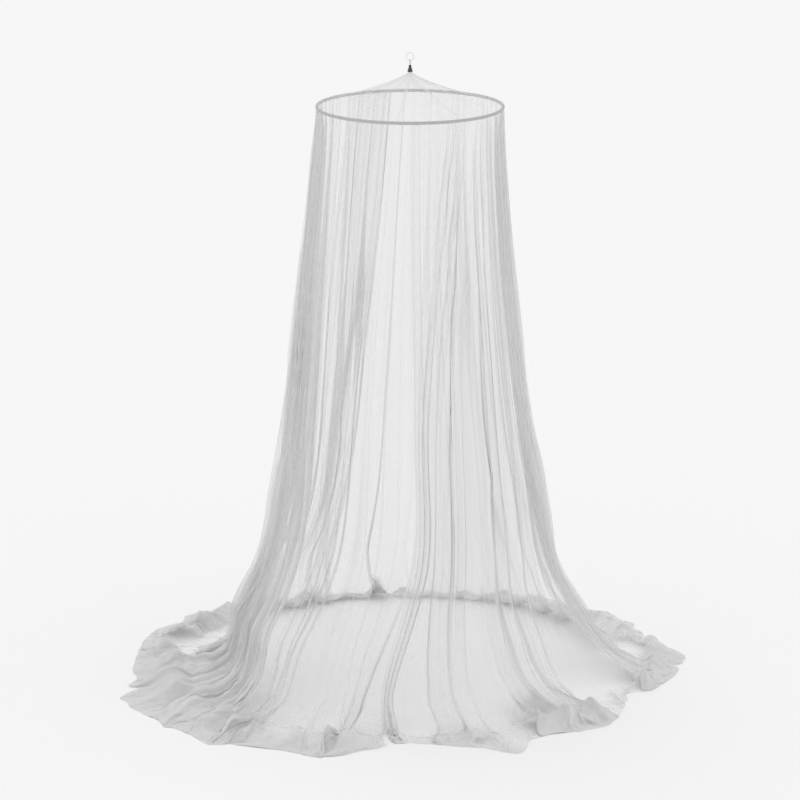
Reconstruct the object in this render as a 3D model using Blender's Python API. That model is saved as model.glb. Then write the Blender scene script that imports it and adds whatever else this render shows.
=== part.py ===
"""A round mosquito net canopy on a hoop, hanging from its ring with its foot heaped on the floor.

Lengths are in metres. Heights in the tables are measured up from the floor, and bearings are in
degrees from the front (-Y), growing towards +X. The origin is where a hook bears on the hanging ring.
"""

import math
from collections import namedtuple

import bmesh
import bpy
from mathutils import Vector

# ---- driving sizes ----
HOOK_HEIGHT = 2.054  # where the ring hangs, above the floor
HOOP_HEIGHT = 1.880
HOOP_RADIUS = 0.300
HOOP_TUBE = 0.0035  # radius of the hoop's own section

CASING_OUTER = 0.0052  # radius of the sleeve's section, outside
CASING_INNER = 0.0040
CASING_SLIT_DEG = 22.0  # the slit where its edges meet, underneath

NET_THICKNESS = 0.0016
RING_RADIUS = 0.0127  # to the middle of its wire
RING_WIRE = 0.0013
CAP_BASE_HEIGHT = 1.9935
LOOP_WIDTH = 0.0050
LOOP_THICKNESS = 0.0010
LOOP_INNER_RADIUS = 0.0019
TOUCHING_GAP = 0.0004

# ---- how finely round pieces are cut into facets ----
HOOP_STEPS = 60
HOOP_SIDES = 8
CASING_SIDES = 7
CAP_STEPS = 20
LOOP_STEPS = 8
RING_STEPS = 32
RING_SIDES = 8
MERGE = 1e-6

# ---- the wall: a row for each height, from the hoop down to the floor ----
# lean: how far its middle stands to the left of the hoop's
Section = namedtuple("Section", "height crest_radius pleat_share lean")
SECTIONS = (
    Section(1.8744, 0.3040, 0.20, 0.000),
    Section(1.840, 0.3070, 0.42, 0.001),
    Section(1.740, 0.3150, 0.70, 0.004),
    Section(1.560, 0.3320, 0.88, 0.007),
    Section(1.340, 0.3540, 1.00, 0.009),
    Section(1.100, 0.3800, 1.05, 0.008),
    Section(0.860, 0.4090, 1.10, 0.006),
    Section(0.640, 0.4420, 1.15, 0.002),
    Section(0.460, 0.4770, 1.20, 0.006),
    Section(0.320, 0.5220, 1.15, 0.020),
    Section(0.200, 0.5900, 1.00, 0.028),
    Section(0.090, 0.6260, 0.80, 0.016),
    Section(0.000, 0.6450, 0.60, 0.000),
)
SKIRT_HEIGHT = 0.60  # below this the wall leans out towards each fold's own footing
SKIRT_CURVE = 1.5  # how late it does so
BEND = 2.5  # how late a fold turns from its bearing at the hoop to its bearing at the floor

# ---- the heap on the floor: a row for each ring between the footing and the hem ----
Ring = namedtuple("Ring", "share hill")
HEAP_RINGS = (
    Ring(0.25, 0.70),
    Ring(0.45, 0.45),
    Ring(0.65, 1.00),
    Ring(0.84, 0.55),
    Ring(1.00, 0.00),
)

# ---- the folds: a row for each, from the tucked edge of the opening round to the outer edge ----
# hoop, floor: bearings; splay: how far its hem turns on; depth: of the pleat;
# touch: radius where it meets the floor; reach: radius of its hem; heap: height of its heap
Fold = namedtuple("Fold", "hoop floor splay depth touch reach heap")
FOLDS = (
    Fold(0, -9.0, 7.0, 0.004, 0.690, 0.790, 0.002),
    Fold(13, 6.5, 0.0, 0.012, 0.730, 0.820, 0.010),
    Fold(22, 13.5, 1.0, 0.020, 0.690, 0.870, 0.020),
    Fold(27, 18.0, 1.0, 0.018, 0.670, 0.925, 0.026),
    Fold(33, 24.5, 0.0, 0.014, 0.660, 0.900, 0.030),
    Fold(41, 32.5, -1.0, 0.024, 0.640, 0.850, 0.048),
    Fold(46, 38.0, 1.0, 0.024, 0.640, 0.885, 0.052),
    Fold(55, 47.0, 0.0, 0.016, 0.640, 0.900, 0.050),
    Fold(65, 58.0, 0.0, 0.018, 0.690, 0.805, 0.020),
    Fold(74, 71.0, 0.0, 0.028, 0.740, 0.860, 0.040),
    Fold(82, 83.0, 0.0, 0.030, 0.700, 0.905, 0.045),
    Fold(91, 94.0, 0.0, 0.030, 0.640, 0.915, 0.050),
    Fold(101, 106.0, 0.0, 0.030, 0.620, 0.850, 0.050),
    Fold(113, 118.0, 0.0, 0.026, 0.610, 0.870, 0.050),
    Fold(126, 130.0, 0.0, 0.024, 0.610, 0.840, 0.045),
    Fold(139, 142.0, 0.0, 0.022, 0.620, 0.800, 0.040),
    Fold(151, 153.0, 0.0, 0.020, 0.630, 0.740, 0.033),
    Fold(162, 163.5, 0.0, 0.018, 0.625, 0.710, 0.030),
    Fold(172, 173.0, 0.0, 0.016, 0.620, 0.695, 0.028),
    Fold(183, 182.0, 0.0, 0.016, 0.620, 0.690, 0.028),
    Fold(192, 190.0, 0.0, 0.022, 0.625, 0.705, 0.036),
    Fold(203, 200.0, 0.0, 0.018, 0.625, 0.705, 0.030),
    Fold(214, 211.0, 0.0, 0.020, 0.635, 0.740, 0.033),
    Fold(225, 223.0, 0.0, 0.024, 0.630, 0.820, 0.040),
    Fold(235, 235.0, 0.0, 0.028, 0.610, 0.880, 0.050),
    Fold(244, 246.0, 0.0, 0.030, 0.590, 0.900, 0.060),
    Fold(253, 257.0, 0.0, 0.032, 0.580, 0.925, 0.060),
    Fold(262, 267.0, 0.0, 0.034, 0.570, 0.920, 0.055),
    Fold(271, 277.0, 0.0, 0.034, 0.570, 0.930, 0.060),
    Fold(280, 287.0, 0.0, 0.034, 0.580, 0.975, 0.055),
    Fold(289, 297.0, 0.0, 0.032, 0.600, 1.015, 0.050),
    Fold(298, 306.5, 0.0, 0.030, 0.630, 1.000, 0.045),
    Fold(308, 315.5, 0.0, 0.022, 0.670, 1.000, 0.045),
    Fold(318, 322.0, 0.0, 0.020, 0.700, 1.010, 0.040),
    Fold(323, 326.0, -1.0, 0.020, 0.710, 0.980, 0.040),
    Fold(335, 336.0, -1.0, 0.014, 0.680, 0.955, 0.045),
    Fold(347, 343.5, -2.0, 0.016, 0.670, 0.960, 0.050),
    Fold(354, 348.5, -4.0, 0.020, 0.690, 0.930, 0.040),
    Fold(360, 352.0, -2.0, 0.018, 0.700, 0.880, 0.025),
    Fold(366, 355.0, -1.5, 0.006, 0.710, 0.850, 0.012),
)
PLEAT = (1.0, 0.28, 0.0, 0.28)  # how far out the cloth stands at each quarter of the way to the next fold
HEAP_SWELL = (1.0, 0.70, 0.0, 0.55)  # how high the heap stands there
HEAP_WANDER = 0.35  # how unevenly its crests run, as a share of their height
WANDER_ROUND = 2.4  # radians of that unevenness from one fold to the next
WANDER_OUT = 9.0  # and from the footing out to the hem
TUCK = 0.020  # how far the inner edge of the opening lies behind the outer one
LIFT = 0.014  # how high the outer edge's foot stands on the inner one's
OVERLAP_FOLDS = 2.0  # the tuck and the lift fade out over this many folds

# ---- the top: a row for each ring from the hoop up to the tip, and the creases' bearings ----
TOP_PROFILE = (
    (0.2985, 1.8854),
    (0.240, 1.9000),
    (0.170, 1.9210),
    (0.100, 1.9450),
    (0.045, 1.9675),
    (0.013, 1.9860),
    (0.0060, 1.9915),
    (0.0042, 1.9965),
)
TOP_CREASES = (-8, 29.5, 68, 104, 140, 173, 212, 250, 287, 322)
TOP_COLUMNS_PER_CREASE = 5
TOP_SAG = 0.007  # how far the net sinks between two creases
TOP_SAG_CURVE = 0.8  # how flat the hollow between them is

# ---- the cap: a row for each ring of its profile, heights above its base ----
CAP_PROFILE = (
    (0.0, 0.0042),
    (0.0063, 0.0040),
    (0.0074, 0.0),
    (0.0084, 0.0),
    (0.0086, 0.0020),
    (0.0064, 0.0085),
    (0.0045, 0.0145),
    (0.0040, 0.0209),
    (0.0034, 0.0215),
    (0.0, 0.0215),
)

# ---- finishes ----
NET_WHITE = (0.60, 0.60, 0.60, 1.0)
TAPE_WHITE = (0.72, 0.72, 0.72, 1.0)
HOOP_GREY = (0.55, 0.55, 0.56, 1.0)
CAP_GREY = (0.10, 0.10, 0.11, 1.0)
RING_WHITE = (0.85, 0.86, 0.87, 1.0)


def lerp(low, high, share):
    return low + (high - low) * share


def from_floor(height):
    """The z of a height above the floor."""
    return height - HOOK_HEIGHT


def at_bearing(bearing, radius, height):
    turn = math.radians(bearing)
    return Vector((radius * math.sin(turn), -radius * math.cos(turn), from_floor(height)))


def finish(name, color, roughness):
    material = bpy.data.materials.new(name)
    material.use_nodes = True
    shader = material.node_tree.nodes["Principled BSDF"]
    shader.inputs["Base Color"].default_value = color
    shader.inputs["Roughness"].default_value = roughness
    shader.inputs["Metallic"].default_value = 0.0
    return material


def make_object(name, bm, material):
    mesh = bpy.data.meshes.new(name)
    bm.to_mesh(mesh)
    bm.free()
    mesh.materials.append(material)
    mesh.shade_smooth()
    thing = bpy.data.objects.new(name, mesh)
    bpy.context.scene.collection.objects.link(thing)
    return thing


def thicken(thing, thickness):
    """Adds the cloth's thickness on the side that its faces look to."""
    solidify = thing.modifiers.new("thickness", "SOLIDIFY")
    solidify.thickness = thickness
    solidify.offset = 1.0
    solidify.use_even_offset = False


def round_section(radius, steps):
    """The points of a round section, about its own middle."""
    turns = (math.tau * step / steps for step in range(steps))
    return [(radius * math.cos(turn), radius * math.sin(turn)) for turn in turns]


def turned(bm, points, steps, closed=False):
    """Spins a profile of (radius, z) points round the vertical axis."""
    verts = [bm.verts.new((radius, 0.0, z)) for radius, z in points]
    pairs = list(zip(verts, verts[1:])) + ([(verts[-1], verts[0])] if closed else [])
    edges = [bm.edges.new(pair) for pair in pairs]
    bmesh.ops.spin(
        bm,
        geom=verts + edges,
        cent=(0.0, 0.0, 0.0),
        axis=(0.0, 0.0, 1.0),
        angle=math.tau,
        steps=steps,
        use_merge=True,
    )
    bmesh.ops.remove_doubles(bm, verts=bm.verts, dist=MERGE)
    bmesh.ops.recalc_face_normals(bm, faces=bm.faces)


# ---- net wall ----
def fold_at(place):
    """The fold before a place along the wall, the one after it, and the share between them."""
    index = min(int(place), len(FOLDS) - 2)
    return FOLDS[index], FOLDS[index + 1], place - index


def between(place, column):
    before, after, share = fold_at(place)
    return lerp(getattr(before, column), getattr(after, column), share)


def tuck_at(place):
    """How far the wall is pushed in near the opening's inner edge."""
    return TUCK * max(0.0, 1.0 - place / OVERLAP_FOLDS)


def lift_at(place):
    """How high the foot stands near the opening's outer edge."""
    return LIFT * max(0.0, 1.0 - (len(FOLDS) - 1 - place) / OVERLAP_FOLDS)


def wall_point(quarter, section):
    """A point of the hanging wall, at a quarter step along the folds and a row of SECTIONS."""
    place = quarter / len(PLEAT)
    drop = (HOOP_HEIGHT - section.height) / HOOP_HEIGHT
    bearing = lerp(between(place, "hoop"), between(place, "floor"), drop**BEND)
    skirt = max(0.0, 1.0 - section.height / SKIRT_HEIGHT) ** SKIRT_CURVE
    radius = section.crest_radius
    radius += (between(place, "touch") - SECTIONS[-1].crest_radius) * skirt
    hollow = 1.0 - PLEAT[quarter % len(PLEAT)]
    radius -= (between(place, "depth") * hollow + tuck_at(place)) * section.pleat_share
    height = max(section.height, lift_at(place))
    return at_bearing(bearing, radius, height) - Vector((section.lean, 0.0, 0.0))


def heap_point(quarter, ring):
    """A point of the heaped foot, at a quarter step along the folds and a row of HEAP_RINGS."""
    place = quarter / len(PLEAT)
    foot = wall_point(quarter, SECTIONS[-1])
    touch = math.hypot(foot.x, foot.y)
    bearing = between(place, "floor") + between(place, "splay") * ring.share
    radius = lerp(touch, between(place, "reach"), ring.share)
    swell = HEAP_SWELL[quarter % len(HEAP_SWELL)]
    wander = 1.0 + HEAP_WANDER * math.sin(WANDER_ROUND * place + WANDER_OUT * ring.share)
    height = between(place, "heap") * ring.hill * swell * wander + lift_at(place) * (1 - ring.share)
    return at_bearing(bearing, radius, height)


def make_net_wall(material):
    columns = len(PLEAT) * (len(FOLDS) - 1)
    rows = len(SECTIONS) + len(HEAP_RINGS) - 1
    bm = bmesh.new()
    bmesh.ops.create_grid(bm, x_segments=columns, y_segments=rows, size=0.5)
    for vert in bm.verts:
        quarter = round((vert.co.x + 0.5) * columns)
        row = round((0.5 - vert.co.y) * rows)
        if row < len(SECTIONS):
            vert.co = wall_point(quarter, SECTIONS[row])
        else:
            vert.co = heap_point(quarter, HEAP_RINGS[row - len(SECTIONS)])
    wall = make_object("net_wall", bm, material)
    thicken(wall, NET_THICKNESS)


# ---- net top ----
def crease_share(bearing):
    """0 on a crease, 1 halfway between two."""
    turns = [crease % 360 for crease in TOP_CREASES]
    turns = sorted(turns) + [min(turns) + 360]
    bearing = (bearing - turns[0]) % 360 + turns[0]
    for before, after in zip(turns, turns[1:]):
        if before <= bearing <= after:
            share = (bearing - before) / (after - before)
            return math.sin(math.pi * share) ** TOP_SAG_CURVE
    return 0.0


def make_net_top(material):
    columns = TOP_COLUMNS_PER_CREASE * len(TOP_CREASES)
    rim = TOP_PROFILE[0][0]
    bm = bmesh.new()
    turned(bm, [(radius, from_floor(height)) for radius, height in TOP_PROFILE], columns)
    for vert in bm.verts:
        radius = math.hypot(vert.co.x, vert.co.y)
        bearing = math.degrees(math.atan2(vert.co.x, -vert.co.y))
        swag = math.sin(math.pi * min(1.0, radius / rim))
        vert.co.z -= TOP_SAG * swag * crease_share(bearing)
    bm.normal_update()
    if sum(face.normal.z for face in bm.faces) < 0:
        bmesh.ops.reverse_faces(bm, faces=bm.faces)
    top = make_object("net_top", bm, material)
    thicken(top, NET_THICKNESS)


# ---- hoop, casing, cap, loop and ring ----
def make_hoop(material):
    bm = bmesh.new()
    middle = from_floor(HOOP_HEIGHT)
    section = [(HOOP_RADIUS + x, middle + z) for x, z in round_section(HOOP_TUBE, HOOP_SIDES)]
    turned(bm, section, HOOP_STEPS, closed=True)
    make_object("hoop", bm, material)


def casing_arc(radius):
    """Points of the sleeve's section from one lip of the slit over the top to the other."""
    start = -90.0 + CASING_SLIT_DEG / 2
    step = (360.0 - CASING_SLIT_DEG) / CASING_SIDES
    turns = [math.radians(start + step * side) for side in range(CASING_SIDES + 1)]
    middle = from_floor(HOOP_HEIGHT)
    return [(HOOP_RADIUS + radius * math.cos(t), middle + radius * math.sin(t)) for t in turns]


def make_hoop_casing(material):
    bm = bmesh.new()
    section = casing_arc(CASING_OUTER) + casing_arc(CASING_INNER)[::-1]
    turned(bm, section, HOOP_STEPS, closed=True)
    make_object("hoop_casing", bm, material)


def make_apex_cap(material):
    bm = bmesh.new()
    base = from_floor(CAP_BASE_HEIGHT)
    turned(bm, [(radius, base + above) for radius, above in CAP_PROFILE], CAP_STEPS)
    make_object("apex_cap", bm, material)


def make_hanging_loop(material):
    """A tape bent over the ring's lowest point, both ends on the cap."""
    crown = ring_center() - RING_RADIUS
    foot = CAP_BASE_HEIGHT + CAP_PROFILE[-1][1] + TOUCHING_GAP
    turns = [math.pi * step / LOOP_STEPS for step in range(LOOP_STEPS + 1)]
    outline = []
    for radius, ordered in (
        (LOOP_INNER_RADIUS + LOOP_THICKNESS, turns),
        (LOOP_INNER_RADIUS, turns[::-1]),
    ):
        arch = [(radius * math.cos(t), crown + radius * math.sin(t)) for t in ordered]
        outline += [(arch[0][0], foot)] + arch + [(arch[-1][0], foot)]
    bm = bmesh.new()
    verts = [bm.verts.new((-LOOP_WIDTH / 2, y, from_floor(height))) for y, height in outline]
    face = bm.faces.new(verts)
    pushed = bmesh.ops.extrude_face_region(bm, geom=[face])
    moved = [part for part in pushed["geom"] if isinstance(part, bmesh.types.BMVert)]
    bmesh.ops.translate(bm, vec=(LOOP_WIDTH, 0.0, 0.0), verts=moved)
    bmesh.ops.recalc_face_normals(bm, faces=bm.faces)
    make_object("hanging_loop", bm, material)


def ring_center():
    """The height of the ring's middle: the hook bears on the inside of its top."""
    return HOOK_HEIGHT - RING_RADIUS + RING_WIRE


def make_hanging_ring(material):
    bm = bmesh.new()
    section = [(RING_RADIUS + x, z) for x, z in round_section(RING_WIRE, RING_SIDES)]
    turned(bm, section, RING_STEPS, closed=True)
    ring = make_object("hanging_ring", bm, material)
    ring.location.z = from_floor(ring_center())
    ring.rotation_euler.x = math.pi / 2


def main():
    for thing in list(bpy.data.objects):
        bpy.data.objects.remove(thing)
    net = finish("white_net", NET_WHITE, 0.9)
    tape = finish("white_tape", TAPE_WHITE, 0.85)
    make_net_wall(net)
    make_net_top(net)
    make_hoop_casing(tape)
    make_hoop(finish("grey_hoop", HOOP_GREY, 0.5))
    make_apex_cap(finish("dark_cap", CAP_GREY, 0.6))
    make_hanging_loop(tape)
    make_hanging_ring(finish("pale_ring", RING_WHITE, 0.3))


main()
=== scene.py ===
"""A sheer white mosquito net canopy: it hangs from a ring over a round hoop and lies heaped on the floor.

Everything is in metres. Heights in the tables are above the floor, bearings are in degrees from the front
(-Y) growing towards +X, and the origin is where a ceiling hook bears on the ring.
"""

import math
from collections import namedtuple

import bmesh
import bpy
import numpy as np
from mathutils import Matrix


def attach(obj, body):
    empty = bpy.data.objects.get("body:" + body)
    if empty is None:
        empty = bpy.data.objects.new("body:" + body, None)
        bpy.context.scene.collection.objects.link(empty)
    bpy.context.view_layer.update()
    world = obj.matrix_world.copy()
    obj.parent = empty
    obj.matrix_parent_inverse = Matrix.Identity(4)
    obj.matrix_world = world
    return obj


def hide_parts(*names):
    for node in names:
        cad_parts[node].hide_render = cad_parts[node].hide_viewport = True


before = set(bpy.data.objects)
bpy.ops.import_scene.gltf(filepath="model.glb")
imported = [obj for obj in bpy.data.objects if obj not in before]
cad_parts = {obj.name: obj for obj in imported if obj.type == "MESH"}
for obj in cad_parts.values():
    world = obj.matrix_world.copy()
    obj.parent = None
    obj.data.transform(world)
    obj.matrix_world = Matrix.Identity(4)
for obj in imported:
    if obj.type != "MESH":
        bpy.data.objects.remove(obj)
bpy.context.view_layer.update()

# ---- driving sizes, the same as the solids' ----
HOOK_HEIGHT = 2.054
HOOP_HEIGHT = 1.880
HOOP_RADIUS = 0.300
SLEEVE_RADIUS = 0.0052
SLEEVE_PUCKERS = 96
SLEEVE_PUCKER_DEPTH = 0.07  # against its radius
CAP_FOOT = 1.9935
CAP_TOP = 2.0150
CAP_LIP = 0.0006  # the rounding of its top
RING_RADIUS = 0.0127
RING_WIRE = 0.0013
LOOP_WIDTH = 0.0050
LOOP_THICKNESS = 0.0010
LOOP_INNER = 0.0019
LOOP_GAP = 0.0004  # between its ends and the cap

# ---- the photograph's camera ----
CAMERA_PLACE = (-0.03234, -11.0, 1.79448)
CAMERA_PITCH = 15.002  # degrees below the horizon
CAMERA_LENS = 155.495
CAMERA_SENSOR = 36.0
CAMERA_SEES = 200.0  # how far it sees, in metres

# ---- the wall: a row for each height, from the hoop down to the floor ----
Section = namedtuple("Section", "height crest_radius pleat_share lean")
SECTIONS = (
    Section(1.8744, 0.3040, 0.20, 0.000),
    Section(1.840, 0.3070, 0.42, 0.001),
    Section(1.740, 0.3150, 0.70, 0.004),
    Section(1.560, 0.3320, 0.88, 0.007),
    Section(1.340, 0.3540, 1.00, 0.009),
    Section(1.100, 0.3800, 1.05, 0.008),
    Section(0.860, 0.4090, 1.10, 0.006),
    Section(0.640, 0.4420, 1.15, 0.002),
    Section(0.460, 0.4770, 1.20, 0.006),
    Section(0.320, 0.5220, 1.15, 0.020),
    Section(0.200, 0.5900, 1.00, 0.028),
    Section(0.090, 0.6260, 0.80, 0.016),
    Section(0.000, 0.6450, 0.60, 0.000),
)
SKIRT_HEIGHT = 0.60  # below this the wall leans out towards each fold's own footing
SKIRT_CURVE = 1.5  # how late it does so
BEND = 2.5  # how late a fold turns from its bearing at the hoop to its bearing at the floor
HOLLOW_SHARPNESS = 0.6  # under 1, so that the hollows between the folds are wide and the crests sharp

# ---- the heap on the floor, from the footing out to the hem ----
Ring = namedtuple("Ring", "share hill")
HEAP_RINGS = (
    Ring(0.00, 0.00),
    Ring(0.25, 0.70),
    Ring(0.45, 0.45),
    Ring(0.65, 1.00),
    Ring(0.84, 0.55),
    Ring(1.00, 0.00),
)

# ---- the main folds: a row for each, from the tucked edge of the opening round to the outer edge ----
Fold = namedtuple("Fold", "hoop floor splay depth touch reach heap")
FOLDS = (
    Fold(0, -9.0, 7.0, 0.004, 0.690, 0.790, 0.002),
    Fold(13, 6.5, 0.0, 0.012, 0.730, 0.820, 0.010),
    Fold(22, 13.5, 1.0, 0.020, 0.690, 0.870, 0.020),
    Fold(27, 18.0, 1.0, 0.018, 0.670, 0.925, 0.026),
    Fold(33, 24.5, 0.0, 0.014, 0.660, 0.900, 0.030),
    Fold(41, 32.5, -1.0, 0.024, 0.640, 0.850, 0.048),
    Fold(46, 38.0, 1.0, 0.024, 0.640, 0.885, 0.052),
    Fold(55, 47.0, 0.0, 0.016, 0.640, 0.900, 0.050),
    Fold(65, 58.0, 0.0, 0.018, 0.690, 0.805, 0.020),
    Fold(74, 71.0, 0.0, 0.028, 0.740, 0.860, 0.040),
    Fold(82, 83.0, 0.0, 0.030, 0.700, 0.905, 0.045),
    Fold(91, 94.0, 0.0, 0.030, 0.640, 0.915, 0.050),
    Fold(101, 106.0, 0.0, 0.030, 0.620, 0.850, 0.050),
    Fold(113, 118.0, 0.0, 0.026, 0.610, 0.870, 0.050),
    Fold(126, 130.0, 0.0, 0.024, 0.610, 0.840, 0.045),
    Fold(139, 142.0, 0.0, 0.022, 0.620, 0.800, 0.040),
    Fold(151, 153.0, 0.0, 0.020, 0.630, 0.740, 0.033),
    Fold(162, 163.5, 0.0, 0.018, 0.625, 0.710, 0.030),
    Fold(172, 173.0, 0.0, 0.016, 0.620, 0.695, 0.028),
    Fold(183, 182.0, 0.0, 0.016, 0.620, 0.690, 0.028),
    Fold(192, 190.0, 0.0, 0.022, 0.625, 0.705, 0.036),
    Fold(203, 200.0, 0.0, 0.018, 0.625, 0.705, 0.030),
    Fold(214, 211.0, 0.0, 0.020, 0.635, 0.740, 0.033),
    Fold(225, 223.0, 0.0, 0.024, 0.630, 0.820, 0.040),
    Fold(235, 235.0, 0.0, 0.028, 0.610, 0.880, 0.050),
    Fold(244, 246.0, 0.0, 0.030, 0.590, 0.900, 0.060),
    Fold(253, 257.0, 0.0, 0.032, 0.580, 0.925, 0.060),
    Fold(262, 267.0, 0.0, 0.034, 0.570, 0.920, 0.055),
    Fold(271, 277.0, 0.0, 0.034, 0.570, 0.930, 0.060),
    Fold(280, 287.0, 0.0, 0.034, 0.580, 0.975, 0.055),
    Fold(289, 297.0, 0.0, 0.032, 0.600, 1.015, 0.050),
    Fold(298, 306.5, 0.0, 0.030, 0.630, 1.000, 0.045),
    Fold(308, 315.5, 0.0, 0.022, 0.670, 1.000, 0.045),
    Fold(318, 322.0, 0.0, 0.020, 0.700, 1.010, 0.040),
    Fold(323, 326.0, -1.0, 0.020, 0.710, 0.980, 0.040),
    Fold(335, 336.0, -1.0, 0.014, 0.680, 0.955, 0.045),
    Fold(347, 343.5, -2.0, 0.016, 0.670, 0.960, 0.050),
    Fold(354, 348.5, -4.0, 0.020, 0.690, 0.930, 0.040),
    Fold(360, 352.0, -2.0, 0.018, 0.700, 0.880, 0.025),
    Fold(366, 355.0, -1.5, 0.006, 0.710, 0.850, 0.012),
)
HEAP_HOLLOW = 0.6  # the share of a fold's height that is lost in the hollow beside it
HEAP_BASE = 0.004  # the height of the lying cloth where no fold lifts it
TUCK = 0.020  # how far the inner edge of the opening lies behind the outer one
LIFT = 0.014  # how high the outer edge's foot stands on the inner one's
OVERLAP_FOLDS = 2.0

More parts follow.
